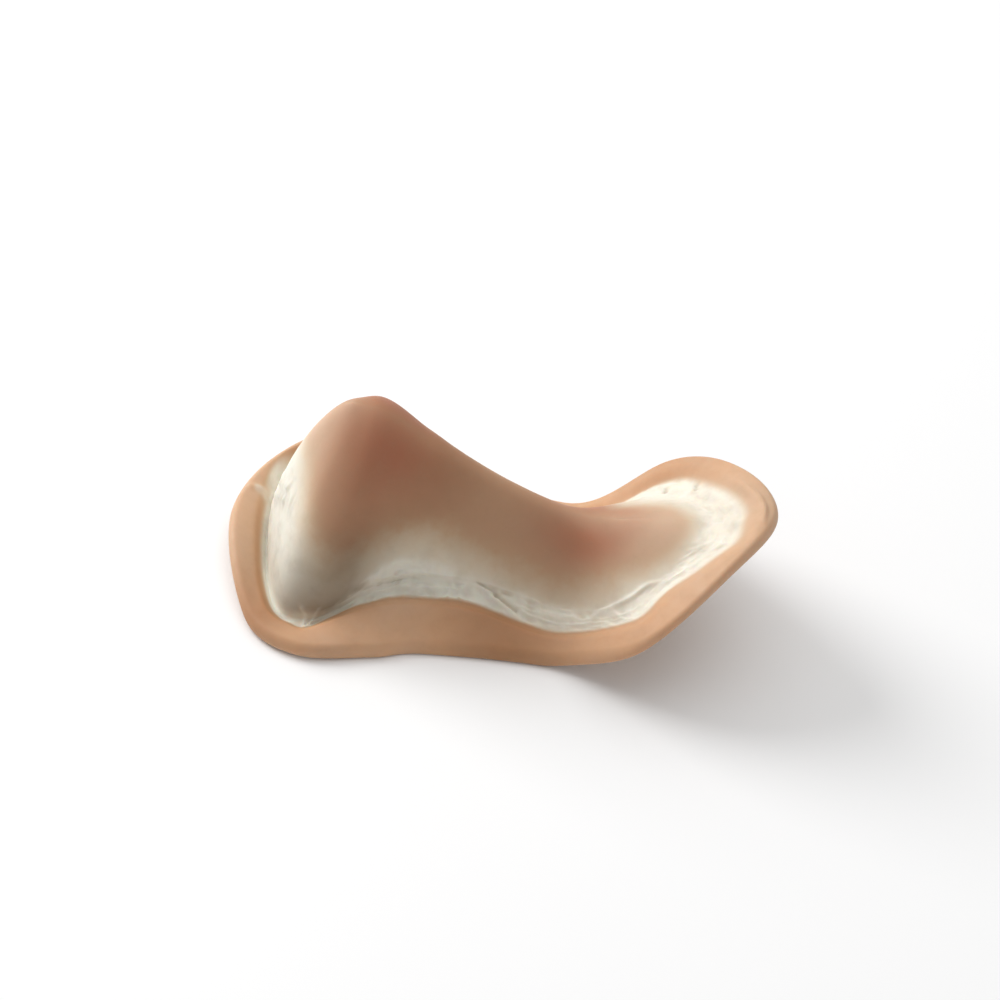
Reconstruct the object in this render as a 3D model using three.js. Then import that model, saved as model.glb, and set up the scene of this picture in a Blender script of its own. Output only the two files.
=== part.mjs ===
// A soft prosthetic nose: one hollow silicone moulding that lies on its flange with the tip up.
// Millimetres, +Z up. +X points to the brow end and -X to the lip end. The shape mirrors in Y, apart from
// the folds of the film and a few strays of its line and of the lip end. The origin is on the resting
// plane, under the middle of the outline.
import * as THREE from 'three';

// Driving sizes
const FLANGE_THICKNESS = 2.7;  // moulding flash that rings the piece
const FLANGE_EDGE = 0.9;       // how far the rounded outer edge of the flange reaches in
const EDGE_SHOULDER = 0.85;    // height of the edge's inner end, as a share of the thickness
const EDGE_NOSE = 0.4;         // height of the edge's outermost line, as a share of the thickness
const FILM_STEP = 0.8;         // the step down from the flange ends this far inside the film's outer line,
                               // or halfway across the film where that is less
const FILM_THICKNESS = 1.0;    // thin blending edge between the flange and the nose body
const FOOT_RISE = 0.3;         // the film thickens by this much where the body starts
const SIDE_WALL = 2.2;         // body wall at its foot, measured across
const BROW_LIFT = 23.5;        // how far the brow end curls up off the resting plane
const BROW_START = 9.0;        // x where that curl starts
const BROW_RUN = 34.0;         // length of the curl along x
const LIP_LIFT = 2.8;          // the same three sizes for the slight curl of the lip end
const LIP_START = -37.0;
const LIP_RUN = 9.0;

// Mesh steps
const AROUND = 160;            // points round each ring, an even number
const WALL_STEPS = 10;         // rings from the foot to the ridge, outside
const CAVITY_STEPS = 8;        // rings from the foot to the ridge, inside
const FILM_STEPS = 4;          // rings across the film
const NORMAL_REACH = 0.6;      // half the stretch of rim, in sections, that sets the inward direction

// One row for each section, from the middle of the brow round one side to the middle of the lip.
// rimX, rimY: outer edge in plan. flange, slope, film: widths across of the flange, of its inner slope and of
// the film. tilt: rise of the skirt for each mm inwards. spineX: where the section meets the ridge.
// crown, flare: how round the wall is near the ridge and how hollow near the foot. bulge: how far the wall
// swells out in plan.
const SECTION_COLUMNS = [
  'rimX', 'rimY', 'flange', 'slope', 'film', 'tilt', 'spineX', 'crown', 'flare', 'bulge',
];
const SECTIONS = table(SECTION_COLUMNS, {
  browMiddle: [43, 0, 5.8, 2.6, 5, 0.15, 18, 1.5, 1.4, 0],
  browCorner: [36.7, 12, 5.4, 2.4, 3.2, 0.2, 16.5, 1.5, 1.5, 0],
  browSide: [25.5, 21.4, 6, 2, 3, 0.3, 13.5, 1.7, 1.4, 0],
  eyeCorner: [12, 18.5, 4.9, 1.5, 3.7, 0.4, 7.5, 2, 1.3, 0],
  cheek: [-9, 20.4, 7.4, 1.5, 2.6, 0.56, -7, 2.2, 1.2, 0],
  wingCrease: [-17.5, 23.3, 8, 1.3, 2.4, 0.42, -13.3, 2.3, 1.2, 0.8],
  wing: [-29.5, 25.8, 6, 1, 1.7, 0, -21.5, 2.3, 1.4, 3],
  lipCorner: [-38.9, 20, 4.8, 0.8, 1.1, 0, -25.4, 2.2, 1.6, 0],
  lipMiddle: [-45.2, 0, 6.1, 0.8, 0.8, 0, -26.8, 1.9, 1.2, 2.2],
});

// Where the shape strays from the even sections. place: its middle, counted round the loop of sections from
// 0 at the middle of the brow. line, foot: how far inwards the film's outer line and its inner end move.
// bulge: how much further out the wall swells. spread: over how many sections that dies away.
const STRAYS = table(['place', 'line', 'foot', 'bulge', 'spread'], {
  browFar: [1.6, -0.9, 0, 0, 0.3],
  lipCornerFar: [7.2, -2.5, -2.5, -1, 0.6],
  lipCornerNear: [9.1, 0, 0, 2.6, 0.55],
  wingNear: [9.95, -0.8, 0, 0, 0.3],
  cheekNear: [12.35, 1, 0, 0, 0.3],
  browNear: [14.5, 1.4, 0, 0, 0.3],
  browCornerNear: [15.37, -1.1, 0, 0, 0.25],
});

// Ridge of the nose from the tip to the brow: height of the outer skin, and the thickness under it
const RIDGE = table(['x', 'z', 'cap'], {
  tip: [-24.2, 32.9, 4.5],
  aboveTip: [-14.1, 28, 4],
  bridge: [0, 21, 3],
  root: [12, 17.6, 2.6],
  betweenBrows: [24, 19.3, 2.4],
  browEdge: [34, 21.5, 2],
});

// The main folds of the film and flange, each a long crest or groove that follows the rim.
// from, to: places round the loop of sections, counted as above.
// start, middle, end: how far the crest lies inside the line where the film begins.
// height: of the crest, less than nothing for a groove. width: half its width.
const FOLD_COLUMNS = ['from', 'to', 'start', 'middle', 'end', 'height', 'width'];
const FOLDS = table(FOLD_COLUMNS, {
  browArc: [15.6, 16.95, -3.9, -2.6, -1.6, 0.45, 0.7],
  browFilm: [1, 2, 2.2, 2, 1.6, 0.35, 0.7],
  upperRuffle: [10.8, 12.5, 1.9, 2.3, 2.6, 0.5, 0.6],
  lowerRuffle: [11, 12.6, 0.7, 0.8, 0.9, 0.4, 0.5],
  sharpCrease: [12.36, 12.85, 2.8, 1.9, 1.2, -0.4, 0.5],
  paleBand: [12.7, 13.35, 2.6, 1.9, 1.2, 0.4, 0.6],
  longRidge: [13.1, 14.7, 0.9, 3, 1.4, 0.5, 0.5],
  browRuffle: [14.5, 15.6, 1.6, 2.4, 2, 0.4, 0.7],
});
const FOLD_END = 0.3;          // share of a fold's length over which each end dies away

const MIRRORED = SECTIONS.slice(1, -1).reverse().map((row) => ({ ...row, rimY: -row.rimY }));
const LOOP = [...SECTIONS, ...MIRRORED];
const SWELL_PEAK = 4 / 27;     // highest value of t (1 - t)^2 between 0 and 1

// Turns rows of numbers into records with the names of their columns
function table(columns, rows) {
  return Object.values(rows).map((row) => Object.fromEntries(columns.map((name, i) => [name, row[i]])));
}

function smoothStep(t) {
  const s = THREE.MathUtils.clamp(t, 0, 1);
  return s * s * (3 - 2 * s);
}

// Underside of the skirt: level in the middle stretch, curling up at both ends
function skirtHeight(x) {
  const brow = BROW_LIFT * smoothStep((x - BROW_START) / BROW_RUN);
  const lip = LIP_LIFT * smoothStep((LIP_START - x) / LIP_RUN);
  return brow + lip;
}

// Value of one column at a place round the closed loop of sections, on a smooth curve through the rows
function sectionValue(column, place) {
  const count = LOOP.length;
  const index = Math.floor(place);
  const t = place - index;
  const [a, b, c, d] = [-1, 0, 1, 2].map((step) => LOOP[(index + step + count) % count][column]);
  return b + 0.5 * t * (c - a + t * (2 * a - 5 * b + 4 * c - d + t * (3 * (b - c) + d - a)));
}

// Value of one column of the ridge at x: level before the tip, straight on past the brow edge
function ridgeValue(column, x) {
  const last = RIDGE.length - 1;
  const slope = (i) => {
    const ahead = RIDGE[Math.min(i + 1, last)];
    const behind = RIDGE[Math.max(i - 1, 0)];
    return i === 0 ? 0 : (ahead[column] - behind[column]) / (ahead.x - behind.x);
  };
  if (x <= RIDGE[0].x) return RIDGE[0][column];
  if (x >= RIDGE[last].x) return RIDGE[last][column] + (x - RIDGE[last].x) * slope(last);
  const i = RIDGE.findIndex((row) => row.x > x) - 1;
  const [from, to] = [RIDGE[i], RIDGE[i + 1]];
  const run = to.x - from.x;
  const t = (x - from.x) / run;
  const ease = t * (1 - t) * run * ((1 - t) * slope(i) - t * slope(i + 1));
  return from[column] + (to[column] - from[column]) * smoothStep(t) + ease;
}

// Everything about the section at one place: its row of sizes, its rim point and its inward direction
function sectionAt(place) {
  const section = { place };
  for (const column of SECTION_COLUMNS) section[column] = sectionValue(column, place);
  section.tilt = Math.max(section.tilt, 0);
  section.bulge = Math.max(section.bulge, 0);
  for (const stray of STRAYS) {
    const share = Math.exp(-(((place - stray.place) / stray.spread) ** 2));
    section.flange += stray.line * share;
    section.film += (stray.foot - stray.line) * share;
    section.bulge += stray.bulge * share;
  }
  const alongX = sectionValue('rimX', place + NORMAL_REACH) - sectionValue('rimX', place - NORMAL_REACH);
  const alongY = sectionValue('rimY', place + NORMAL_REACH) - sectionValue('rimY', place - NORMAL_REACH);
  const length = Math.hypot(alongX, alongY);
  section.inX = -alongY / length;
  section.inY = alongX / length;
  return section;
}

// How far the folds lift the skin at a place, some way inside the line where the film begins
function foldLift(place, across) {
  let lift = 0;
  for (const fold of FOLDS) {
    const past = THREE.MathUtils.euclideanModulo(place - fold.from, LOOP.length);
    const share = past / (fold.to - fold.from);
    if (share >= 1) continue;
    const bow = 4 * share * (1 - share) * (fold.middle - (fold.start + fold.end) / 2);
    const crest = THREE.MathUtils.lerp(fold.start, fold.end, share) + bow;
    const ends = smoothStep(share / FOLD_END) * smoothStep((1 - share) / FOLD_END);
    lift += fold.height * ends * Math.exp(-(((across - crest) / fold.width) ** 2));
  }
  return lift;
}

// A point of the skirt, some way in from the rim and some way above its underside. It runs square to the
// rim across the flange, and from there straight towards the section's point on the ridge.
function skirtPoint(section, inset, lift) {
  const across = Math.min(inset, section.flange);
  const edgeX = section.rimX + section.inX * across;
  const edgeY = section.rimY + section.inY * across;
  const share = (inset - across) / Math.hypot(section.spineX - edgeX, edgeY);
  const x = THREE.MathUtils.lerp(edgeX, section.spineX, share);
  const y = edgeY * (1 - share);
  return new THREE.Vector3(x, y, skirtHeight(x) + section.tilt * (inset - FLANGE_EDGE) + lift);
}

// A point of the skirt's upper side, which carries the folds
function foldedPoint(section, inset, lift) {
  return skirtPoint(section, inset, lift + foldLift(section.place, inset - section.flange));
}

// A point of the wall between its foot and the ridge line, t from 0 to 1
function wallPoint(section, foot, t, bulge, ridgeHeight) {
  const swell = (bulge * t * (1 - t) ** 2) / SWELL_PEAK;
  const x = THREE.MathUtils.lerp(foot.x, section.spineX, t) - section.inX * swell;
  const y = foot.y * (1 - t) - section.inY * swell;
  const climb = 1 - (1 - t ** section.flare) ** section.crown;
  return new THREE.Vector3(x, y, foot.z + (ridgeHeight(x) - foot.z) * climb);
}

// The closed profile of one section, from the outer ridge down over the flange and up to the inner ridge
function sectionProfile(section) {
  const { flange, slope, film, bulge } = section;
  const stepEnd = Math.min(FILM_STEP, film / 2);
  const foot = skirtPoint(section, flange + film, FILM_THICKNESS + FOOT_RISE);
  const innerFoot = skirtPoint(section, flange + film + SIDE_WALL, 0);
  const outerRidge = (x) => ridgeValue('z', x);
  const innerRidge = (x) => ridgeValue('z', x) - ridgeValue('cap', x);
  const profile = [];
  for (let step = WALL_STEPS; step > 0; step -= 1) {
    profile.push(wallPoint(section, foot, step / WALL_STEPS, bulge, outerRidge));
  }
  for (let step = FILM_STEPS; step >= 0; step -= 1) {
    const share = step / FILM_STEPS;
    const inset = flange + THREE.MathUtils.lerp(stepEnd, film, share);
    profile.push(foldedPoint(section, inset, FILM_THICKNESS + FOOT_RISE * smoothStep(2 * share - 1)));
  }
  profile.push(
    foldedPoint(section, flange - slope, FLANGE_THICKNESS),
    foldedPoint(section, (flange - slope + FLANGE_EDGE) / 2, FLANGE_THICKNESS),
    foldedPoint(section, FLANGE_EDGE, FLANGE_THICKNESS * EDGE_SHOULDER),
    skirtPoint(section, 0, FLANGE_THICKNESS * EDGE_NOSE),
    skirtPoint(section, FLANGE_EDGE, 0),
    skirtPoint(section, flange, 0),
    skirtPoint(section, flange + film / 2, 0),
    skirtPoint(section, flange + film, 0),
    innerFoot,
  );
  for (let step = 1; step <= CAVITY_STEPS; step += 1) {
    profile.push(wallPoint(section, innerFoot, step / CAVITY_STEPS, 0, innerRidge));
  }
  return profile;
}

// Joins the profiles into one closed skin. The first and last rings lie on the two ridge lines, where
// the two sides share their points.
function shellGeometry() {
  const profiles = [];
  for (let i = 0; i < AROUND; i += 1) {
    profiles.push(sectionProfile(sectionAt(((i + 0.5) * LOOP.length) / AROUND)));
  }
  const lastRing = profiles[0].length - 1;
  const positions = [];
  const numbers = [];
  for (let ring = 0; ring <= lastRing; ring += 1) {
    const onRidge = ring === 0 || ring === lastRing;
    const row = [];
    for (let i = 0; i < AROUND; i += 1) {
      if (onRidge && i >= AROUND / 2) {
        row.push(row[AROUND - 1 - i]);
        continue;
      }
      row.push(positions.length / 3);
      const point = profiles[i][ring];
      positions.push(point.x, onRidge ? 0 : point.y, point.z);
    }
    numbers.push(row);
  }
  const triangles = [];
  for (let ring = 0; ring < lastRing; ring += 1) {
    for (let i = 0; i < AROUND; i += 1) {
      const next = (i + 1) % AROUND;
      const [a, b] = [numbers[ring][i], numbers[ring + 1][i]];
      const [d, c] = [numbers[ring][next], numbers[ring + 1][next]];
      if (b !== c) triangles.push(a, b, c);
      if (a !== d) triangles.push(a, c, d);
    }
  }
  const geometry = new THREE.BufferGeometry();
  geometry.setAttribute('position', new THREE.Float32BufferAttribute(positions, 3));
  geometry.setIndex(triangles);
  geometry.computeBoundingBox();
  geometry.translate(-(geometry.boundingBox.min.x + geometry.boundingBox.max.x) / 2, 0, 0);
  geometry.computeVertexNormals();
  return geometry;
}

const silicone = new THREE.MeshStandardMaterial({ color: 0xc4946f, roughness: 0.45, metalness: 0 });
const noseShell = new THREE.Mesh(shellGeometry(), silicone);
noseShell.name = 'nose_shell';

const prostheticNose = new THREE.Group();
prostheticNose.add(noseShell);

export default prostheticNose;
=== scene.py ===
"""The looks of a soft prosthetic nose: a fine skin over the same sections as the solid, with the wrinkles of
its thin film, and a painted silicone material. Shapes are worked out in millimetres and stored in metres."""

import math

import bpy
import numpy as np
from mathutils import Matrix, Vector


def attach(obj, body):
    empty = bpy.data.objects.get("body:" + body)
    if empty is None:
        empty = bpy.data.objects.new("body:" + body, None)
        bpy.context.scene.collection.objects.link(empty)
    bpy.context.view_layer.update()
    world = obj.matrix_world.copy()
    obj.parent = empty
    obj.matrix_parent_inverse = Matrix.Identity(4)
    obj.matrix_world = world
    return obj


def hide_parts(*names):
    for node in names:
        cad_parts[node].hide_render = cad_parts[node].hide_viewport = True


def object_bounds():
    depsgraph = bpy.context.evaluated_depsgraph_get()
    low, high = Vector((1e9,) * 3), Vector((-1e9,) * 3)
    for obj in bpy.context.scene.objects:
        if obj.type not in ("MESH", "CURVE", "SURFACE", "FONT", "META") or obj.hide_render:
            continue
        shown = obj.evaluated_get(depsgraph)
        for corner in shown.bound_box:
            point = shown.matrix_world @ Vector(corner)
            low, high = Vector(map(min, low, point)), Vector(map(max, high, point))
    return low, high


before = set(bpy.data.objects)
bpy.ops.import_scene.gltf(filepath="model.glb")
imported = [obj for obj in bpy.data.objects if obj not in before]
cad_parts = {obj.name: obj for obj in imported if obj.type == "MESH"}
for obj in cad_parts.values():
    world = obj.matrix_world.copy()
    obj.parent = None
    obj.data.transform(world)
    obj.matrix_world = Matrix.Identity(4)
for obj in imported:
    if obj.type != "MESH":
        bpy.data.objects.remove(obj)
cad_low, cad_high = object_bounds()

MM = 0.001
NODE = "nose_shell"
UPWARDS = (0.0, 0.0, 1.0)

# Driving sizes of the moulding, in millimetres, as in the solid
FLANGE_THICKNESS = 2.7
FLANGE_EDGE = 0.9
EDGE_ROUND = 1.2
EDGE_NOSE = 0.4
FLANGE_CROWN = 0.12
SLOPE_SOFT = 0.7
STEP_IN = 0.8
FILM_THICKNESS = 1.0
FOOT_RISE = 0.3
SIDE_WALL = 2.2

# How high the skirt curls up at the brow and at the lip, where that starts and over what run
BROW_LIFT = 23.5
BROW_START = 9.0
BROW_RUN = 34.0
LIP_LIFT = 2.8
LIP_START = -37.0
LIP_RUN = 9.0

# How many places to either side the direction of the rim is read from
NORMAL_REACH = 0.6
# Greatest value of t * (1 - t) ** 2, the form of the wall's swell
SWELL_PEAK = 4 / 27

# How far round the foot of the wall its corner is rounded, in how many passes, and how far up the wall the
# wrinkles turn from upwards to square off the wall
FOOT_SOFT = 1.3
FOOT_PASSES = 40
FOOT_TURN = 2.5

# Points round each ring of the fine skin, and the rings of each stretch
AROUND = 720
WALL_RINGS = 44
FILM_RINGS = 26
STEP_RINGS = 8
FLANGE_RINGS = 16
EDGE_RINGS = 7
UNDER_RINGS = 8
HOLLOW_RINGS = 18
# How far the wall's rings crowd towards its foot, and the top share of it over which the wrinkles run out
WALL_CROWDING = 1.35
WALL_CALM = 0.2
# Step up the wall over which its outward direction is read, and the least run of that step
WALL_STEP = 0.01
LEAST_RUN = 1e-6

# One row for each section, from the middle of the brow round one side to the middle of the lip
SECTION_COLUMNS = (
    "rim_x", "rim_y", "flange", "slope", "film", "tilt", "spine_x", "crown", "flare", "bulge",
)
SECTIONS = {
    "brow_middle": (43.0, 0.0, 5.8, 2.6, 5.0, 0.15, 18.0, 1.5, 1.4, 0.0),
    "brow_corner": (36.7, 12.0, 5.4, 2.4, 3.2, 0.2, 16.5, 1.5, 1.5, 0.0),
    "brow_side": (25.5, 21.4, 6.0, 2.0, 3.0, 0.3, 13.5, 1.7, 1.4, 0.0),
    "eye_corner": (12.0, 18.5, 4.9, 1.5, 3.7, 0.4, 7.5, 2.0, 1.3, 0.0),
    "cheek": (-9.0, 20.4, 7.4, 1.5, 2.6, 0.56, -7.0, 2.2, 1.2, 0.0),
    "wing_crease": (-17.5, 23.3, 8.0, 1.3, 2.4, 0.42, -13.3, 2.3, 1.2, 0.8),
    "wing": (-29.5, 25.8, 6.0, 1.0, 1.7, 0.0, -21.5, 2.3, 1.4, 3.0),
    "lip_corner": (-38.9, 20.0, 4.8, 0.8, 1.1, 0.0, -25.4, 2.2, 1.6, 0.0),
    "lip_middle": (-45.2, 0.0, 6.1, 0.8, 0.8, 0.0, -26.8, 1.9, 1.2, 2.2),
}

# Where the shape strays from the even sections: the place, how far inwards the film's outer line and its
# foot move, how much further out the wall swells, and over how many places the stray runs out
STRAY_COLUMNS = ("place", "line", "foot", "bulge", "spread")
STRAYS = {
    "brow_far": (1.6, -0.9, 0.0, 0.0, 0.3),
    "lip_corner_far": (7.2, -2.5, -2.5, -1.0, 0.6),
    "lip_corner_near": (9.1, 0.0, 0.0, 2.6, 0.55),
    "wing_near": (9.95, -0.8, 0.0, 0.0, 0.3),
    "cheek_near": (12.35, 1.0, 0.0, 0.0, 0.3),
    "brow_near": (14.5, 1.4, 0.0, 0.0, 0.3),
    "brow_corner_near": (15.37, -1.1, 0.0, 0.0, 0.25),
}

# Ridge of the nose from the tip to the brow: x, height of the outer skin, thickness under it
RIDGE_COLUMNS = ("x", "z", "cap")
RIDGE = {
    "tip": (-24.2, 32.9, 4.5),
    "above_tip": (-14.1, 28.0, 4.0),
    "bridge": (0.0, 21.0, 3.0),
    "root": (12.0, 17.6, 2.6),
    "between_brows": (24.0, 19.3, 2.4),
    "brow_edge": (34.0, 21.5, 2.0),
}

# Wrinkles of each section: how crumpled the film is and how far up the wall that runs, in millimetres
CRUMPLE_COLUMNS = ("crumple", "climb")
CRUMPLES = {
    "brow_middle": (0.4, 1.5),
    "brow_corner": (0.55, 1.5),
    "brow_side": (0.5, 1.5),
    "eye_corner": (0.8, 1.5),
    "cheek": (1.1, 4.0),
    "wing_crease": (1.1, 5.5),
    "wing": (0.35, 3.0),
    "lip_corner": (0.3, 4.0),
    "lip_middle": (0.45, 15.0),
}

# Crumples of the film and waves of the flange: length along the film, width across it, height
CRUMPLE_SIZES = ((4.6, 1.7, 0.36), (2.2, 1.1, 0.4), (1.2, 0.7, 0.2))
WAVE_SIZES = ((11.0, 4.0, 0.16), (5.0, 1.6, 0.07))
# How far outside the film's outer line the crumples start, the width over which they grow, and the height
# over which they run out up the wall
CRUMPLE_OUT = 0.6
CRUMPLE_GROW = 0.9
CRUMPLE_CALM = 1.8
# How far inside the film's outer line and how far from the rim the waves end, and over what width
WAVE_IN = 0.2
WAVE_EDGE = 0.4
WAVE_CALM = 1.5

# Seeds of the wrinkles: how many are drawn and up to what number, and the first of them that a wave takes
SEED = 11
SEED_COUNT = 16
SEED_LIMIT = 1 << 30
FIRST_WAVE_SEED = 8
# Rows of the noise across the film, and the row that lies on the film's outer line
NOISE_ROWS = 64
NOISE_LINE = 20

# Long folds that follow the rim: places round the loop, how far the crest lies inside the film's outer line
# at its start, middle and end, its height and half its width, and how much of the height comes in bumps
FOLD_COLUMNS = ("start_place", "end_place", "start", "middle", "end", "height", "width", "bumps")
FOLDS = {
    "brow_arc": (15.55, 17.05, -4.0, -2.6, -1.5, 0.55, 0.5, 0.0),
    "brow_film": (1.0, 2.0, 2.2, 2.0, 1.6, 0.3, 0.7, 0.3),
    "ruffle_edge": (10.8, 12.2, 7.2, 6.5, 4.7, 0.4, 0.9, 0.95),
    "upper_ruffle": (10.7, 12.35, 5.0, 4.6, 3.2, 0.75, 1.0, 0.9),
    "ruffle_groove": (10.9, 12.2, 3.1, 3.1, 2.2, -0.4, 0.65, 0.3),
    "lower_ruffle": (10.9, 12.45, 1.4, 1.8, 1.0, 0.5, 0.65, 0.3),
    "pale_band": (12.5, 13.35, 1.5, 2.6, 2.2, 0.3, 0.8, 0.4),
    "long_ridge": (13.1, 14.7, 1.2, 4.5, 1.4, 0.5, 0.45, 0.0),
    "brow_ruffle": (14.5, 15.6, 1.4, 1.6, 1.4, 0.3, 0.8, 0.4),
}
# Length and width of a fold's bumps, and the share of a fold over which each end runs out
BUMP_SIZE = (1.4, 1.1)
FOLD_END = 0.3

# Short pleats across the film: where each starts and ends, as a place and a way inside the film's outer
# line, then its height and half its width
PLEAT_COLUMNS = ("from_place", "from_across", "to_place", "to_across", "height", "width")
PLEATS = {
    "wing_left": (9.72, 4.4, 9.98, 0.4, 0.26, 0.34),
    "wing_right": (10.09, 4.7, 10.04, 0.4, 0.26, 0.34),
    "lip_arc_high": (8.1, 13.2, 8.36, 15.9, 0.4, 0.5),
    "lip_arc_end": (8.36, 15.9, 8.56, 16.4, 0.35, 0.5),
    "lip_arc_low": (8.08, 10.2, 8.4, 13.8, 0.4, 0.5),
    "lip_arc_tail": (8.4, 13.8, 8.64, 15.6, 0.35, 0.5),
    "lip_streak": (8.5, 10.3, 8.85, 10.2, 0.25, 0.5),
    "lip_pinch": (7.72, -3.3, 7.66, -1.0, 0.35, 0.5),
    "cheek_nub_left": (12.16, 0.4, 12.18, 2.0, 0.35, 0.32),
    "cheek_nub_right": (12.26, 0.3, 12.26, 1.9, 0.35, 0.32),
    "crease_high": (12.37, 3.4, 12.5, 2.4, -0.4, 0.4),
    "crease_low": (12.5, 2.4, 12.65, 1.8, -0.55, 0.32),
    "crease_lip": (12.4, 2.6, 12.66, 0.7, 0.4, 0.4),
    "brow_dent_far": (1.66, 2.2, 1.6, 2.9, -0.45, 0.4),
    "brow_dent_near": (1.26, 0.3, 1.21, 0.9, -0.45, 0.4),
}

# Paint of each section: where up the wall the white of the film starts to fade and where it has gone, how
# white it is at the foot, how far it runs out over the flange, how pale the skin tone above it and the
# flange are, and how orange and dark the flange's inner slope is painted, an orange tone with painted shade
PAINT_COLUMNS = ("fade_start", "fade_end", "whiteness", "reach", "pale", "flange_pale", "slope_orange_and_shade")
PAINTS = {
    "brow_middle": (-0.08, 0.4, 0.88, 1.2, 0.85, 0.6, 0.0),
    "brow_corner": (-0.1, 0.38, 0.88, 1.1, 0.7, 0.4, 0.0),
    "brow_side": (-0.1, 0.6, 0.93, -0.2, 0.5, 0.1, 0.1),
    "eye_corner": (-0.3, 0.55, 0.92, -0.1, 0.28, 0.0, 0.1),
    "cheek": (-0.08, 0.53, 0.93, -0.3, 0.08, 0.15, 0.1),
    "wing_crease": (0.02, 0.48, 0.8, -0.3, 0.0, 0.2, 0.2),
    "wing": (0.14, 0.46, 0.66, 0.0, 0.05, 0.05, 0.6),
    "lip_corner": (0.25, 0.66, 0.95, 0.0, 0.4, 0.5, 1.0),
    "lip_middle": (0.4, 0.62, 1.0, 0.5, 1.0, 0.6, 1.0),
}
# Columns that a smooth curve through the rows must not take below nothing
NEVER_NEGATIVE = ("tilt", "bulge", "pale", "flange_pale", "slope_orange_and_shade")

# White that runs further up the wall on one side: the place and spread, and how much further it has gone
FADE_STRAY_COLUMNS = ("place", "spread", "further")
FADE_STRAYS = {
    "brow_far": (1.5, 1.0, 0.5),
}

# Painted shade and shadow, as spots darker than the paint: their place round the loop and spread, how much
# painted shade lies on the thin foot of the wall, the share of that on the film, and how much the flange's
# tone is darkened, mostly as painted shadow and in part as a deeper orange tone
SHADE_COLUMNS = ("place", "spread", "hollow", "film", "flange_shade_and_tone")
SHADES = {
    "lip_corner_near": (9.1, 0.5, 0.15, 0.3, 0.85),
    "wing_near": (10.05, 0.95, 0.95, 0.25, 0.1),
    "crease_near": (10.35, 0.25, 0.3, 1.0, 0.0),
    "cheek_near": (12.6, 0.45, 0.0, 0.0, 0.9),
    "brow_side_near": (14.0, 0.5, 0.0, 0.0, 0.15),
    "wing_far": (5.9, 0.75, 0.5, 0.3, 0.1),
    "brow_side_far": (2.0, 0.8, 0.0, 0.0, 0.4),
}
# Shares of the wall: where the painted shade lies in full, from where it fades and over how much
PAINTED_SHADE_FULL = 0.1
PAINTED_SHADE_HIGH = 0.16
PAINTED_SHADE_FADE = 0.34

# White streaks over the flange: place and spread, how far outside the film's line they start, strength
STREAK_COLUMNS = ("place", "spread", "out", "strength")
STREAKS = {
    # The lip_pinch streak whitens the fold at the far lip end as a painted highlight
    "lip_pinch": (7.7, 0.06, 3.6, 0.6),
    "lip_corner_far": (7.42, 0.3, 2.2, 0.95),
}
STREAK_WIDTH = 1.5

# Blush on both flanks: x, how far up the wall, its spread along x and up the wall, its strength
BLUSH_COLUMNS = ("x", "up", "along", "rise", "strength")
BLUSHES = {
    "tip": (-20.0, 0.74, 7.5, 0.26, 1.0),
    "root": (13.5, 0.66, 7.5, 0.26, 0.85),
}

# How far outside the film's outer line the white starts and the flange's tone starts to go, over what width,
# and how much wider that is for each millimetre of reach
WHITE_OUT = 0.8
WHITE_WIDTH = 1.7
FLANGE_OUT = 1.1
FLANGE_WIDTH = 1.8
REACH_WIDTH = 0.6
# How far outside the film's outer line the orange and painted shade of the inner slope is strongest, and its
# spread
ORANGE_OUT = 0.8
ORANGE_SPREAD = 0.8
# Wrinkle height that counts as a full crest for the paint, how much whiter the film is painted there as a
# painted highlight, and how white it has to be for that; the grooves are painted greyer as painted shade
CREST_FULL = 0.35
CREST_HIGHLIGHT = 0.5
CREST_FROM = 0.5
# From what share of the wall up the skin tone is less pale, and by how much at the ridge
PALE_FROM = 0.5
PALE_LOSS = 0.35

# Base colours, linear
TAN = (0.44, 0.243, 0.136, 1.0)
TAN_DEEP = (0.39, 0.2, 0.107, 1.0)
ROSE = (0.4, 0.15, 0.08, 1.0)
PALE_PEACH = (0.66, 0.465, 0.325, 1.0)
FADE_TAN = (0.56, 0.41, 0.25, 1.0)
FADE_PALE = (0.68, 0.53, 0.37, 1.0)
FILM_WHITE = (0.82, 0.79, 0.69, 1.0)
FILM_GREY = (0.62, 0.58, 0.49, 1.0)
# Grey of the film's wrinkle grooves, a painted shade
FILM_GROOVE_SHADE = (0.5, 0.46, 0.37, 1.0)
FLANGE_PEACH = (0.64, 0.365, 0.2, 1.0)
FLANGE_SAND = (0.6, 0.365, 0.22, 1.0)
FLANGE_PALE = (0.62, 0.43, 0.29, 1.0)
# Darker flange tone, mostly painted shadow and in part a deeper orange tone
FLANGE_SHADE_AND_TONE = (0.42, 0.21, 0.1, 1.0)
# Orange of the flange's inner slope, darkened as painted shade
STEP_ORANGE_SHADE = (0.5, 0.25, 0.11, 1.0)
# Grey that the painted shade at the foot of the wall multiplies in
PAINTED_SHADE_GREY = (0.5, 0.46, 0.42, 1.0)
INSIDE_PALE = (0.58, 0.40, 0.29, 1.0)
MOTTLE = (0.80, 0.78, 0.76, 1.0)
FLOOR_WHITE = (0.96, 0.96, 0.96, 1.0)
SKY_WHITE = (1.0, 1.0, 1.0, 1.0)

# Scale of each noise of the silicone, its detail and its roughness
BODY_NOISE = 70.0
FLANGE_NOISE = 110.0
FILM_NOISE = 260.0
FINE_NOISE = 420.0
SPECK_NOISE = 1500.0
PLAIN_DETAIL = 3.0
FINE_DETAIL = 4.0
SPECK_DETAIL = 2.0
NOISE_ROUGHNESS = 0.55

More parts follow.
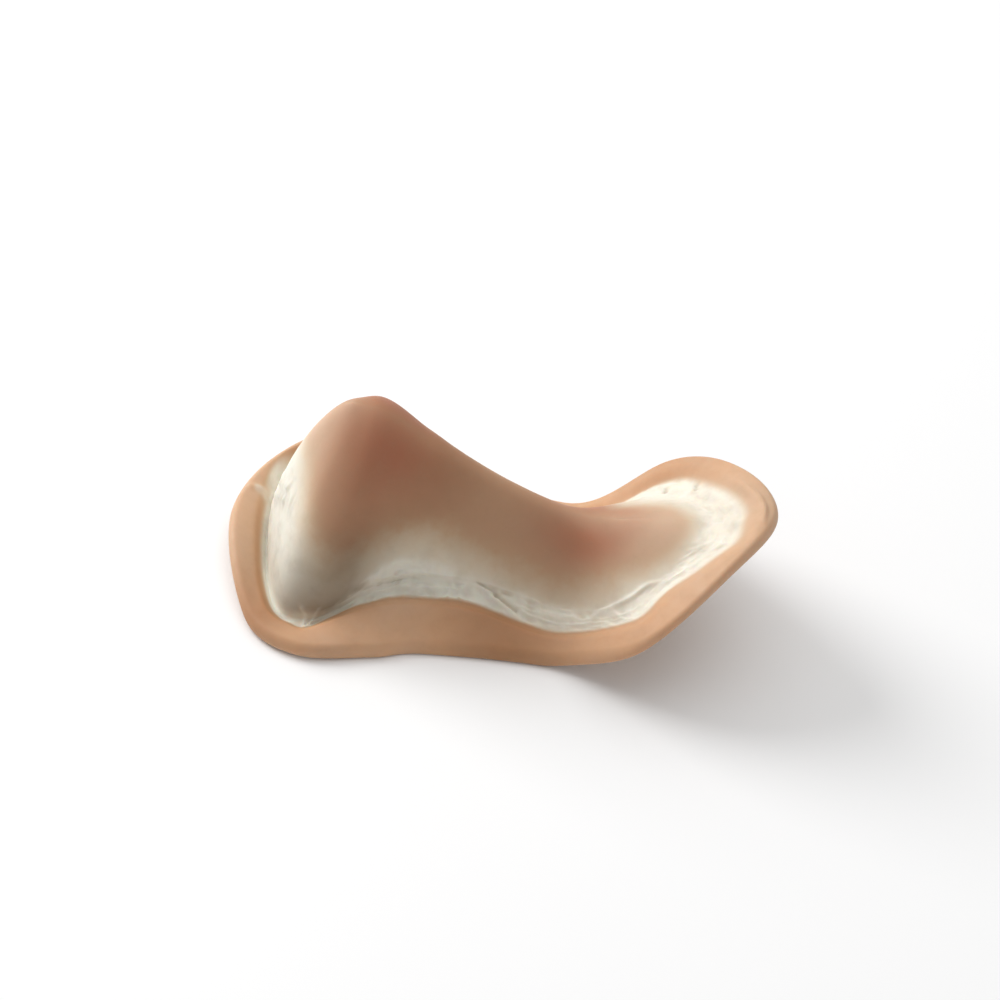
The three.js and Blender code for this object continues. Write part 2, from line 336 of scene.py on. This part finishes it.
# Spans of noise over which two tones change, the film turns grey, the fine noise counts in full and the
# mottle comes in, with what they are stretched onto
TONE_SPAN = (0.35, 0.65)
FILM_GREY_SPAN = (0.45, 0.7)
FILM_GREY_SHARES = (0.0, 0.6)
FULL_SPAN = (0.3, 0.7)
MOTTLE_SPAN = (0.4, 0.75)
MOTTLE_SHARES = (0.0, 0.35)
SPECK_SHARES = (0.4, 1.0)
EDGE_WANDER = (-0.05, 0.05)
ROUGHNESS = (0.52, 0.66)
# Spans of white over which the skin tone turns to the fade's tone, and then to the film's
FADE_SPAN = (-0.05, 0.6)
FILM_SPAN = (0.1, 1.05)
# Greatest shares of the grooves' painted shade, the inner slope's orange and painted shade and the inside's
# tone, and of the specks in the bump
GROOVE_SHADE_SHARE = 0.7
ORANGE_SHADE_SHARE = 0.7
INSIDE_SHARE = 0.8
SPECK_BUMP = 0.6

# Surface of the silicone, lengths in metres
SPECULAR = 0.32
SUBSURFACE_WEIGHT = 0.3
SUBSURFACE_RADIUS = (1.0, 0.45, 0.25)
SUBSURFACE_SCALE = 0.0022
BUMP_STRENGTH = 0.12
BUMP_DISTANCE = 0.00012

# Sockets of a colour mix node
MIX_SHARE = 0
MIX_FIRST = 6
MIX_SECOND = 7
MIX_RESULT = 2

# Camera, with its lens and target in millimetres, its angles in degrees and the target's place in the picture
LENS = 85.0
SENSOR = 36.0
IMAGE_SIDE = 1000
TARGET = (0.0, 0.0, 12.0)
DISTANCE = 388.0
ELEVATION = 44.0
ROLL = 10.2
TARGET_PIXEL = (498.0, 524.5)
CLIP_START = 0.01

# Soft lamps: direction towards each, its distance and size in metres, its power in watts
LAMP_COLUMNS = ("towards", "distance", "size", "power")
LAMPS = {
    "key": ((-0.72, 0.34, 0.52), 1.0, 0.6, 7.3),
    "top": ((0.0, 0.3, 0.95), 1.3, 1.6, 6.8),
}
SKY_STRENGTH = 0.42

# Floor: its side in metres, its gap under the part in millimetres, and its surface
FLOOR_SIZE = 6.0
FLOOR_GAP = 0.05
FLOOR_ROUGHNESS = 0.9
FLOOR_SPECULAR = 0.1


def rows_of(columns, table):
    """The rows of a table, each with its values by column name."""
    return [dict(zip(columns, row)) for row in table.values()]


def closed_loop(columns, table):
    """Each column as an array round the whole loop: the half sections, then their mirror images."""
    half = np.array(list(table.values()))
    mirrored = half[-2:0:-1].copy()
    if "rim_y" in columns:
        mirrored[:, columns.index("rim_y")] *= -1
    whole = np.concatenate([half, mirrored])
    return {name: whole[:, i] for i, name in enumerate(columns)}


LOOP = {
    **closed_loop(SECTION_COLUMNS, SECTIONS),
    **closed_loop(PAINT_COLUMNS, PAINTS),
    **closed_loop(CRUMPLE_COLUMNS, CRUMPLES),
}
PLACES = len(LOOP["rim_x"])
RIDGE_LINE = dict(zip(RIDGE_COLUMNS, np.array(list(RIDGE.values())).T))


def smooth_step(t):
    s = np.clip(t, 0, 1)
    return s * s * (3 - 2 * s)


def bell(distance, spread):
    """1 at no distance, falling off smoothly to both sides."""
    return np.exp(-((distance / spread) ** 2))


def skirt_height(x):
    """Underside of the skirt: level in the middle stretch, curling up at both ends."""
    brow = BROW_LIFT * smooth_step((x - BROW_START) / BROW_RUN)
    lip = LIP_LIFT * smooth_step((LIP_START - x) / LIP_RUN)
    return brow + lip


def loop_value(column, place):
    """A column at places round the closed loop, on a smooth curve through the rows."""
    values = LOOP[column]
    index = np.floor(place).astype(int)
    t = place - index
    a, b, c, d = (values[(index + step) % PLACES] for step in (-1, 0, 1, 2))
    return b + 0.5 * t * (c - a + t * (2 * a - 5 * b + 4 * c - d + t * (3 * (b - c) + d - a)))


def ridge_value(column, x):
    """A column of the ridge at x: level before the tip, straight on past the brow edge."""
    knots, values = RIDGE_LINE["x"], RIDGE_LINE[column]
    last = len(knots) - 1
    slopes = np.zeros(len(knots))
    for i in range(1, len(knots)):
        ahead = min(i + 1, last)
        slopes[i] = (values[ahead] - values[i - 1]) / (knots[ahead] - knots[i - 1])
    i = np.clip(np.searchsorted(knots, x, side="right") - 1, 0, last - 1)
    run = knots[i + 1] - knots[i]
    t = np.clip((x - knots[i]) / run, 0, 1)
    ease = t * (1 - t) * run * ((1 - t) * slopes[i] - t * slopes[i + 1])
    inner = values[i] + (values[i + 1] - values[i]) * smooth_step(t) + ease
    return inner + np.maximum(x - knots[last], 0) * slopes[last]


def outer_ridge(x):
    return ridge_value("z", x)


def inner_ridge(x):
    return ridge_value("z", x) - ridge_value("cap", x)


def make_sections(place):
    """Everything about the sections at all places: sizes, paint and inward directions, strays included."""
    section = {name: loop_value(name, place) for name in LOOP}
    for name in NEVER_NEGATIVE:
        section[name] = np.maximum(section[name], 0)
    along_x = loop_value("rim_x", place + NORMAL_REACH) - loop_value("rim_x", place - NORMAL_REACH)
    along_y = loop_value("rim_y", place + NORMAL_REACH) - loop_value("rim_y", place - NORMAL_REACH)
    length = np.hypot(along_x, along_y)
    section["in_x"] = -along_y / length
    section["in_y"] = along_x / length
    section["place"] = place
    for stray in rows_of(STRAY_COLUMNS, STRAYS):
        share = bell(place - stray["place"], stray["spread"])
        section["flange"] = section["flange"] + stray["line"] * share
        section["film"] = section["film"] + (stray["foot"] - stray["line"]) * share
        section["bulge"] = section["bulge"] + stray["bulge"] * share
    return section


def skirt_point(section, inset, lift):
    """Points of the skirt: square to the rim across the flange, then straight towards the ridge."""
    across = np.minimum(inset, section["flange"])
    edge_x = section["rim_x"] + section["in_x"] * across
    edge_y = section["rim_y"] + section["in_y"] * across
    share = (inset - across) / np.hypot(section["spine_x"] - edge_x, edge_y)
    x = edge_x + (section["spine_x"] - edge_x) * share
    y = edge_y * (1 - share)
    z = skirt_height(x) + section["tilt"] * (inset - FLANGE_EDGE) + lift
    return np.stack([x, y, z], -1)


def top_lift(section, inset):
    """Height of the skirt's upper side over its underside: round edge, flange, step, film and foot."""
    flange, film = section["flange"], section["film"]
    outwards = 1 - np.clip(inset / EDGE_ROUND, 0, 1)
    edge = EDGE_NOSE + (1 - EDGE_NOSE) * np.sqrt(1 - outwards ** 2)
    crown = FLANGE_CROWN * np.sin(np.pi * np.clip(inset / flange, 0, 1))
    step_out = section["slope"] + SLOPE_SOFT
    step_in = np.minimum(STEP_IN, film / 2)
    step = smooth_step((inset - flange + step_out) / (step_out + step_in))
    rise = FOOT_RISE * smooth_step((inset - flange - film / 2) / (film / 2))
    return (FLANGE_THICKNESS * edge + crown) * (1 - step) + (FILM_THICKNESS + rise) * step


def wall_point(section, foot, t, bulge, ridge_height):
    """Points of the wall between its foot and the ridge line."""
    swell = bulge * t * (1 - t) ** 2 / SWELL_PEAK
    x = foot[:, 0] + (section["spine_x"] - foot[:, 0]) * t - section["in_x"] * swell
    y = foot[:, 1] * (1 - t) - section["in_y"] * swell
    climb = 1 - (1 - t ** section["flare"]) ** section["crown"]
    z = foot[:, 2] + (ridge_height(x) - foot[:, 2]) * climb
    return np.stack([x, y, z], -1)


def wall_normal(section, foot, t):
    """Outward direction of the outer wall, square to its rise."""
    low = wall_point(section, foot, max(t - WALL_STEP, 0), section["bulge"], outer_ridge)
    high = wall_point(section, foot, min(t + WALL_STEP, 1), section["bulge"], outer_ridge)
    rise = high - low
    run = np.maximum(np.hypot(rise[:, 0], rise[:, 1]), LEAST_RUN)
    lean = rise[:, 2] / run
    normal = np.stack([-rise[:, 0] * lean, -rise[:, 1] * lean, run], -1)
    return normal / np.linalg.norm(normal, axis=1, keepdims=True)


def fold_lift(place, across, bump_noise):
    """How far the long folds lift the skin."""
    lift = np.zeros(np.broadcast(place, across).shape)
    for fold in rows_of(FOLD_COLUMNS, FOLDS):
        share = ((place - fold["start_place"]) % PLACES) / (fold["end_place"] - fold["start_place"])
        inside = np.clip(share, 0, 1)
        bow = 4 * inside * (1 - inside) * (fold["middle"] - (fold["start"] + fold["end"]) / 2)
        crest = fold["start"] + (fold["end"] - fold["start"]) * inside + bow
        ends = smooth_step(inside / FOLD_END) * smooth_step((1 - inside) / FOLD_END)
        bumps = 1 + fold["bumps"] * (2 * bump_noise - 1)
        lift += fold["height"] * ends * bumps * bell(across - crest, fold["width"])
    return lift


def pleat_lift(along, across, along_of):
    """How far the short pleats lift the skin. along is the way round the film, in millimetres."""
    lift = np.zeros(np.broadcast(along, across).shape)
    for pleat in rows_of(PLEAT_COLUMNS, PLEATS):
        start = np.array([along_of(pleat["from_place"]), pleat["from_across"]])
        end = np.array([along_of(pleat["to_place"]), pleat["to_across"]])
        run = end - start
        share = ((along - start[0]) * run[0] + (across - start[1]) * run[1]) / (run @ run)
        share = np.clip(share, 0, 1)
        away = np.hypot(along - start[0] - run[0] * share, across - start[1] - run[1] * share)
        lift += pleat["height"] * bell(away, pleat["width"])
    return lift


def lattice_noise(seed, along, across, cell_along, cell_across, round_trip):
    """Smooth noise from 0 to 1 that closes on itself after a round trip of the film."""
    columns = max(int(round(round_trip / cell_along)), 2)
    u = along / round_trip * columns
    v = across / cell_across + NOISE_LINE
    grid = np.random.default_rng(seed).random((columns, NOISE_ROWS))
    i, j = np.floor(u).astype(int), np.floor(v).astype(int)
    s, t = smooth_step(u - i), smooth_step(v - j)
    i0, i1, j0, j1 = i % columns, (i + 1) % columns, j % NOISE_ROWS, (j + 1) % NOISE_ROWS
    low = grid[i0, j0] * (1 - s) + grid[i1, j0] * s
    high = grid[i0, j1] * (1 - s) + grid[i1, j1] * s
    return low * (1 - t) + high * t


def wrinkle_maker(section):
    """A function that gives the wrinkle height at every section for a way inside the film's outer line."""
    flange, film, place = section["flange"], section["film"], section["place"]
    middle = skirt_point(section, flange + film / 2, 0.0)
    steps = np.linalg.norm(np.roll(middle, -1, 0) - middle, axis=1)
    along = np.concatenate([[0], np.cumsum(steps)[:-1]])
    round_trip = steps.sum()
    seeds = np.random.default_rng(SEED).integers(1, SEED_LIMIT, SEED_COUNT)

    def along_of(at):
        return np.interp(at % PLACES, place, along)

    def wrinkle(across):
        grown = smooth_step((across + CRUMPLE_OUT) / CRUMPLE_GROW)
        on_film = grown * smooth_step((film + section["climb"] - across) / CRUMPLE_CALM)
        off_edge = smooth_step((flange + across - WAVE_EDGE) / WAVE_CALM)
        on_flange = smooth_step((WAVE_IN - across) / WAVE_CALM) * off_edge
        bump_noise = lattice_noise(SEED, along, across, *BUMP_SIZE, round_trip)
        height = fold_lift(place, across, bump_noise) + pleat_lift(along, across, along_of)
        for seed, (length, width, rise) in zip(seeds, CRUMPLE_SIZES):
            noise = lattice_noise(seed, along, across, length, width, round_trip)
            height = height + rise * section["crumple"] * on_film * (1 - np.abs(2 * noise - 1) - 0.5)
        for seed, (length, width, rise) in zip(seeds[FIRST_WAVE_SEED:], WAVE_SIZES):
            noise = lattice_noise(seed, along, across, length, width, round_trip)
            height = height + rise * on_flange * (noise - 0.5)
        return height

    return wrinkle


class Skin:
    """Collects rings of points, the way wrinkles lift them and the facts that the paint is made from."""

    def __init__(self, section):
        self.section = section
        self.rings = []
        self.outwards = []
        self.facts = {"up": [], "across": [], "inside": [], "lift": [], "by_foot": []}

    def add(self, points, up=0.0, across=0.0, inside=0.0, lift=0.0, by_foot=0.0, outward=UPWARDS):
        self.rings.append(points)
        self.outwards.append(np.broadcast_to(outward, points.shape))
        for rows, value in zip(self.facts.values(), (up, across, inside, lift, by_foot)):
            rows.append(np.broadcast_to(np.asarray(value, float), len(points)))

    def add_skirt(self, across, wrinkle):
        """A ring of the skirt's upper side, at a way inside the film's outer line."""
        inset = self.section["flange"] + across
        points = skirt_point(self.section, inset, top_lift(self.section, inset))
        by_foot = bell(self.section["film"] - across, FOOT_SOFT)
        self.add(points, across=across, lift=wrinkle(across), by_foot=by_foot)

    def fact(self, name):
        return np.array(self.facts[name])

    def points(self):
        """All points: the corner at the foot of the wall is rounded, then the wrinkles come on top."""
        points = np.array(self.rings)
        share = 0.5 * self.fact("by_foot")[1:-1, :, None]
        for _ in range(FOOT_PASSES):
            middle = (points[:-2] + points[2:]) / 2
            points[1:-1] += share * (middle - points[1:-1])
        return points + np.array(self.outwards) * self.fact("lift")[..., None]


def add_outer_wall(skin, wrinkle):
    """The outer wall from the ridge down, with rings closer together near the foot, where it wrinkles."""
    section, film = skin.section, skin.section["film"]
    foot = skirt_point(section, section["flange"] + film, FILM_THICKNESS + FOOT_RISE)
    for step in range(WALL_RINGS, 0, -1):
        t = (step / WALL_RINGS) ** WALL_CROWDING
        points = wall_point(section, foot, t, section["bulge"], outer_ridge)
        climbed = np.linalg.norm(points - foot, axis=1)
        lift = wrinkle(film + climbed) * smooth_step((1 - t) / WALL_CALM)
        turn = smooth_step(climbed / FOOT_TURN)[:, None]
        outward = wall_normal(section, foot, t) * turn + np.array(UPWARDS) * (1 - turn)
        skin.add(points, up=t, across=film, lift=lift, by_foot=bell(climbed, FOOT_SOFT), outward=outward)


def add_upper_side(skin, wrinkle):
    """The film, the step up to the flange, and the flange with rings closer together towards its edge."""
    flange, film = skin.section["flange"], skin.section["film"]
    step_in = np.minimum(STEP_IN, film / 2)
    step_out = skin.section["slope"] + SLOPE_SOFT
    for step in range(FILM_RINGS, -1, -1):
        skin.add_skirt(step_in + (film - step_in) * step / FILM_RINGS, wrinkle)
    for step in range(STEP_RINGS - 1, -1, -1):
        skin.add_skirt(-step_out + (step_in + step_out) * step / STEP_RINGS, wrinkle)
    for step in range(1, FLANGE_RINGS + 1):
        inset = (flange - step_out) * (1 - math.sin(math.pi / 2 * step / FLANGE_RINGS))
        skin.add_skirt(inset - flange, wrinkle)


def add_underside(skin, inner_inset):
    """The lower half of the round edge, kept off the floor where it tilts, then the flat underside."""
    section, flange = skin.section, skin.section["flange"]
    for step in range(1, EDGE_RINGS + 1):
        turn = math.pi / 2 * step / EDGE_RINGS
        inset = np.full(AROUND, FLANGE_EDGE * (1 - math.cos(turn)))
        lift = FLANGE_THICKNESS * EDGE_NOSE * (1 - math.sin(turn))
        lift = np.maximum(lift, section["tilt"] * (FLANGE_EDGE - inset))
        skin.add(skirt_point(section, inset, lift), across=inset - flange, inside=step / EDGE_RINGS)
    for step in range(1, UNDER_RINGS + 1):
        inset = FLANGE_EDGE + (inner_inset - FLANGE_EDGE) * step / UNDER_RINGS
        skin.add(skirt_point(section, inset, 0.0), across=inset - flange, inside=1.0)


def add_hollow(skin, inner_inset):
    """The inner wall, from the underside up to the ridge."""
    section = skin.section
    foot = skirt_point(section, inner_inset, 0.0)
    for step in range(1, HOLLOW_RINGS + 1):
        t = step / HOLLOW_RINGS
        points = wall_point(section, foot, t, 0.0, inner_ridge)
        skin.add(points, up=t, across=section["film"], inside=1.0)


def build_skin():
    """All rings of the moulding, from the outer ridge down over the flange and up to the inner ridge."""
    place = (np.arange(AROUND) + 0.5) * PLACES / AROUND
    section = make_sections(place)
    inner_inset = section["flange"] + section["film"] + SIDE_WALL
    wrinkle = wrinkle_maker(section)
    skin = Skin(section)
    add_outer_wall(skin, wrinkle)
    add_upper_side(skin, wrinkle)
    add_underside(skin, inner_inset)
    add_hollow(skin, inner_inset)
    return skin


def film_paint(section, up, across):
    """How white the film is and how much of the flange's tone shows: white fades up the wall and past the
    film's outer line, and streaks of it run on over the flange."""
    on_wall = up > 0
    fade_end = section["fade_end"]
    for stray in rows_of(FADE_STRAY_COLUMNS, FADE_STRAYS):
        fade_end = fade_end + stray["further"] * bell(section["place"] - stray["place"], stray["spread"])
    faded = (up - section["fade_start"]) / (fade_end - section["fade_start"])
    reach = section["reach"]
    wider = REACH_WIDTH * reach
    over_line = smooth_step((across + WHITE_OUT + reach) / (WHITE_WIDTH + wider))
    white = section["whiteness"] * np.where(on_wall, 1, over_line) * (1 - smooth_step(faded))
    off_flange = smooth_step((across + FLANGE_OUT + reach) / (FLANGE_WIDTH + wider))
    flange = np.where(on_wall, 0, 1 - off_flange)
    for streak in rows_of(STREAK_COLUMNS, STREAKS):
        share = streak["strength"] * bell(section["place"] - streak["place"], streak["spread"])
        share = share * smooth_step((across + streak["out"]) / STREAK_WIDTH)
        white = np.where(on_wall, white, np.maximum(white, share))
        flange = flange * (1 - share)
    return white, flange


def shade_paint(section, up, flange):
    """Painted shade: how dark the foot of the wall is painted, and how much the flange's tone is darkened,
    mostly as painted shadow and in part as a deeper tone.
    """
    hollow, flange_shade_and_tone = np.zeros(up.shape), np.zeros(up.shape)
    above_foot = smooth_step(up / PAINTED_SHADE_FULL)
    below_top = 1 - smooth_step((up - PAINTED_SHADE_HIGH) / PAINTED_SHADE_FADE)
    for shade in rows_of(SHADE_COLUMNS, SHADES):
        share = bell(section["place"] - shade["place"], shade["spread"])
        height = (shade["film"] + (1 - shade["film"]) * above_foot) * below_top
        hollow += shade["hollow"] * share * height * (1 - flange)
        flange_shade_and_tone += shade["flange_shade_and_tone"] * share
    return np.minimum(hollow, 1), flange_shade_and_tone


def blush_paint(points, up):
    """How rosy the skin tone is."""
    blush = np.zeros(up.shape)
    for spot in rows_of(BLUSH_COLUMNS, BLUSHES):
        along = bell(points[..., 0] - spot["x"], spot["along"])
        blush += spot["strength"] * along * bell(up - spot["up"], spot["rise"])
    return blush


def paint(skin, points):
    """What the material reads at every point."""
    section = skin.section
    up, across, inside, lift = (skin.fact(name) for name in ("up", "across", "inside", "lift"))
    outside = 1 - inside
    white, flange = film_paint(section, up, across)
    hollow, flange_shade_and_tone = shade_paint(section, up, flange)
    # Wrinkle crests get a painted highlight and their grooves a painted shade
    crest = np.clip(lift / CREST_FULL, -1, 1)
    ridge, groove_shade = np.maximum(crest, 0), np.maximum(-crest, 0)
    # Orange tone and painted shade on the flange's inner slope, where it drops to the film
    slope_orange_and_shade = section["slope_orange_and_shade"] * bell(across + ORANGE_OUT, ORANGE_SPREAD)
    pale_lost = PALE_LOSS * smooth_step((up - PALE_FROM) / (1 - PALE_FROM))
    return {
        "white": white + CREST_HIGHLIGHT * ridge * np.minimum(white / CREST_FROM, 1) * (1 - white),
        "flange": flange,
        "slope_orange_and_shade": np.where(up > 0, 0, slope_orange_and_shade),
        "flange_shade_and_tone": flange_shade_and_tone,
        # Painted shade at the foot of the wall, with less of it on the wrinkles' crests
        "hollow": hollow * outside * (1 - CREST_HIGHLIGHT * ridge),
        "groove_shade": groove_shade * (1 - flange) * outside,
        "pale": section["pale"] * (1 - pale_lost),
        "flange_pale": np.broadcast_to(section["flange_pale"], up.shape),
        "blush": blush_paint(points, up) * outside,
        "inside": inside,
    }


def join_rings(points, traits):
    """Points, traits and faces of one closed skin, whose two sides share their points on both ridge lines."""
    rings, around = points.shape[:2]
    numbers = np.zeros((rings, around), int)
    coords, kept = [], []
    total = 0
    for ring in range(rings):
        on_ridge = ring in (0, rings - 1)
        count = around // 2 if on_ridge else around
        row = points[ring, :count].copy()
        numbers[ring, :count] = np.arange(total, total + count)
        if on_ridge:
            row[:, 1] = 0
            numbers[ring, count:] = numbers[ring, :count][::-1]
        coords.append(row)
        kept.append(np.stack([trait[ring, :count] for trait in traits.values()], -1))
        total += count
    following = np.roll(numbers, -1, 1)
    quads = np.stack([numbers[:-1], numbers[1:], following[1:], following[:-1]], -1).reshape(-1, 4)
    corners = (list(dict.fromkeys(quad)) for quad in quads.tolist())
    faces = [face for face in corners if len(face) > 2]
    return np.concatenate(coords), np.concatenate(kept), faces


def make_mesh(name):
    """The skin as a mesh, centred on the solid along x, with its traits as attributes."""
    skin = build_skin()
    points = skin.points()
    traits = paint(skin, points)
    coords, kept, faces = join_rings(points, traits)
    cad_middle = (cad_low.x + cad_high.x) / 2 / MM
    coords[:, 0] += cad_middle - (coords[:, 0].min() + coords[:, 0].max()) / 2
    mesh = bpy.data.meshes.new(name)
    mesh.from_pydata((coords * MM).tolist(), [], faces)
    mesh.shade_smooth()
    for i, trait in enumerate(traits):
        attribute = mesh.attributes.new(trait, "FLOAT", "POINT")
        attribute.data.foreach_set("value", kept[:, i].astype(np.float32))
    mesh.validate()
    return mesh


class Nodes:
    """A short way to write a material's node tree."""

    def __init__(self, tree):
        self.tree = tree

    def add(self, kind, **settings):
        node = self.tree.nodes.new(kind)
        for name, value in settings.items():
            setattr(node, name, value)
        return node

    def put(self, socket, value):
        if isinstance(value, bpy.types.NodeSocket):
            self.tree.links.new(value, socket)
        else:
            socket.default_value = value

    def trait(self, name):
        return self.add("ShaderNodeAttribute", attribute_name=name).outputs["Fac"]

    def noise(self, scale, detail=PLAIN_DETAIL):
        place = self.add("ShaderNodeTexCoord").outputs["Object"]
        node = self.add("ShaderNodeTexNoise")
        self.put(node.inputs["Vector"], place)
        node.inputs["Scale"].default_value = scale
        node.inputs["Detail"].default_value = detail
        node.inputs["Roughness"].default_value = NOISE_ROUGHNESS
        return node.outputs["Fac"]

    def spread(self, value, span, onto=(0.0, 1.0), kind="LINEAR"):
        """Stretches a span of a value onto another span."""
        node = self.add("ShaderNodeMapRange", interpolation_type=kind)
        for name, number in zip(("From Min", "From Max", "To Min", "To Max"), (*span, *onto)):
            node.inputs[name].default_value = number
        self.put(node.inputs["Value"], value)
        return node.outputs["Result"]

    def math(self, operation, first, second):
        node = self.add("ShaderNodeMath", operation=operation)
        self.put(node.inputs[0], first)
        self.put(node.inputs[1], second)
        return node.outputs[0]

    def mix(self, share, first, second, blend="MIX"):
        node = self.add("ShaderNodeMix", data_type="RGBA", blend_type=blend)
        self.put(node.inputs[MIX_SHARE], share)
        self.put(node.inputs[MIX_FIRST], first)
        self.put(node.inputs[MIX_SECOND], second)
        return node.outputs[MIX_RESULT]


def make_silicone():
    """Skin tones of the body under the film's white, the flange's tones beside it, and a fine mottle, with
    painted shade at the foot of the wall, on the flange and in the film's grooves, and a painted highlight on
    its crests.
    """
    material = bpy.data.materials.new("painted_silicone")
    material.use_nodes = True
    tree = material.node_tree
    shader = tree.nodes["Principled BSDF"]
    n = Nodes(tree)
    fine = n.noise(FINE_NOISE, FINE_DETAIL)
    speck = n.noise(SPECK_NOISE, SPECK_DETAIL)
    body = n.mix(n.spread(n.noise(BODY_NOISE), TONE_SPAN), TAN, TAN_DEEP)
    body = n.mix(n.trait("pale"), body, PALE_PEACH)
    body = n.mix(n.trait("blush"), body, ROSE)
    film = n.mix(n.spread(n.noise(FILM_NOISE), FILM_GREY_SPAN, FILM_GREY_SHARES), FILM_WHITE, FILM_GREY)
    # Painted shade in the grooves of the film's wrinkles
    film = n.mix(n.math("MULTIPLY", n.trait("groove_shade"), GROOVE_SHADE_SHARE), film, FILM_GROOVE_SHADE)
    fade = n.mix(n.trait("pale"), FADE_TAN, FADE_PALE)
    white = n.math("ADD", n.trait("white"), n.spread(fine, FULL_SPAN, EDGE_WANDER))
    colour = n.mix(n.spread(white, FADE_SPAN, kind="SMOOTHSTEP"), body, fade)
    colour = n.mix(n.spread(white, FILM_SPAN, kind="SMOOTHSTEP"), colour, film)
    # Painted shade darkens the foot of the wall
    colour = n.mix(n.trait("hollow"), colour, n.mix(1.0, colour, PAINTED_SHADE_GREY, "MULTIPLY"))
    flange = n.mix(n.spread(n.noise(FLANGE_NOISE), TONE_SPAN), FLANGE_PEACH, FLANGE_SAND)
    flange = n.mix(n.trait("flange_pale"), flange, FLANGE_PALE)
    # Painted shadow and a deeper tone on the flange
    flange = n.mix(n.trait("flange_shade_and_tone"), flange, FLANGE_SHADE_AND_TONE)
    # Orange tone and painted shade on the flange's inner slope
    flange = n.mix(n.math("MULTIPLY", n.trait("slope_orange_and_shade"), ORANGE_SHADE_SHARE), flange, STEP_ORANGE_SHADE)
    colour = n.mix(n.trait("flange"), colour, flange)
    colour = n.mix(n.math("MULTIPLY", n.trait("inside"), INSIDE_SHARE), colour, INSIDE_PALE)
    mottle = n.spread(fine, MOTTLE_SPAN, MOTTLE_SHARES)
    mottle = n.math("MULTIPLY", mottle, n.spread(speck, FULL_SPAN, SPECK_SHARES))
    colour = n.mix(mottle, colour, n.mix(1.0, colour, MOTTLE, "MULTIPLY"))
    n.put(shader.inputs["Base Color"], colour)
    n.put(shader.inputs["Roughness"], n.spread(fine, FULL_SPAN, ROUGHNESS))
    shader.inputs["Specular IOR Level"].default_value = SPECULAR
    shader.inputs["Subsurface Weight"].default_value = SUBSURFACE_WEIGHT
    shader.inputs["Subsurface Radius"].default_value = SUBSURFACE_RADIUS
    shader.inputs["Subsurface Scale"].default_value = SUBSURFACE_SCALE
    bump = n.add("ShaderNodeBump")
    bump.inputs["Strength"].default_value = BUMP_STRENGTH
    bump.inputs["Distance"].default_value = BUMP_DISTANCE
    n.put(bump.inputs["Height"], n.math("ADD", fine, n.math("MULTIPLY", speck, SPECK_BUMP)))
    n.put(shader.inputs["Normal"], bump.outputs["Normal"])
    return material


def make_nose():
    mesh = make_mesh("nose_skin")
    mesh.materials.append(make_silicone())
    piece = bpy.data.objects.new("nose_skin", mesh)
    bpy.context.scene.collection.objects.link(piece)
    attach(piece, "root")
    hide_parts(NODE)


def make_floor():
    half = FLOOR_SIZE / 2
    corners = [(-half, -half, 0), (half, -half, 0), (half, half, 0), (-half, half, 0)]
    mesh = bpy.data.meshes.new("floor")
    mesh.from_pydata(corners, [], [(0, 1, 2, 3)])
    material = bpy.data.materials.new("pale_floor")
    material.use_nodes = True
    shader = material.node_tree.nodes["Principled BSDF"]
    shader.inputs["Base Color"].default_value = FLOOR_WHITE
    shader.inputs["Roughness"].default_value = FLOOR_ROUGHNESS
    shader.inputs["Specular IOR Level"].default_value = FLOOR_SPECULAR
    mesh.materials.append(material)
    floor = bpy.data.objects.new("floor", mesh)
    floor.location.z = -FLOOR_GAP * MM
    bpy.context.scene.collection.objects.link(floor)


def make_light():
    """Soft lamps that face the part, and an even pale sky."""
    for name, lamp in zip(LAMPS, rows_of(LAMP_COLUMNS, LAMPS)):
        light = bpy.data.lights.new(name, "AREA")
        light.shape = "DISK"
        light.size = lamp["size"]
        light.energy = lamp["power"]
        holder = bpy.data.objects.new(name, light)
        towards = Vector(lamp["towards"]).normalized()
        holder.location = towards * lamp["distance"]
        holder.rotation_euler = towards.to_track_quat("Z", "Y").to_euler()
        bpy.context.scene.collection.objects.link(holder)
    world = bpy.data.worlds.new("studio")
    world.use_nodes = True
    sky = world.node_tree.nodes["Background"]
    sky.inputs["Color"].default_value = SKY_WHITE
    sky.inputs["Strength"].default_value = SKY_STRENGTH
    bpy.context.scene.world = world


def make_camera():
    """The photograph's view: from the side, above the floor, rolled a little."""
    elevation, roll = math.radians(ELEVATION), math.radians(ROLL)
    back = Vector((0.0, -math.cos(elevation), math.sin(elevation)))
    level_right = Vector((1.0, 0.0, 0.0))
    level_up = back.cross(level_right)
    right = level_right * math.cos(roll) + level_up * math.sin(roll)
    up = level_up * math.cos(roll) - level_right * math.sin(roll)
    pixel = DISTANCE * SENSOR / LENS / IMAGE_SIDE
    middle = IMAGE_SIDE / 2
    aside = right * (middle - TARGET_PIXEL[0]) + up * (TARGET_PIXEL[1] - middle)
    aim = Vector(TARGET) + aside * pixel
    camera = bpy.data.cameras.new("camera")
    camera.lens = LENS
    camera.sensor_width = SENSOR
    camera.clip_start = CLIP_START
    holder = bpy.data.objects.new("camera", camera)
    turn = Matrix((right, up, back)).transposed().to_4x4()
    holder.matrix_world = Matrix.Translation((aim + back * DISTANCE) * MM) @ turn
    bpy.context.scene.collection.objects.link(holder)
    bpy.context.scene.camera = holder


bpy.context.scene.view_settings.view_transform = "Standard"
make_nose()
make_floor()
make_light()
make_camera()
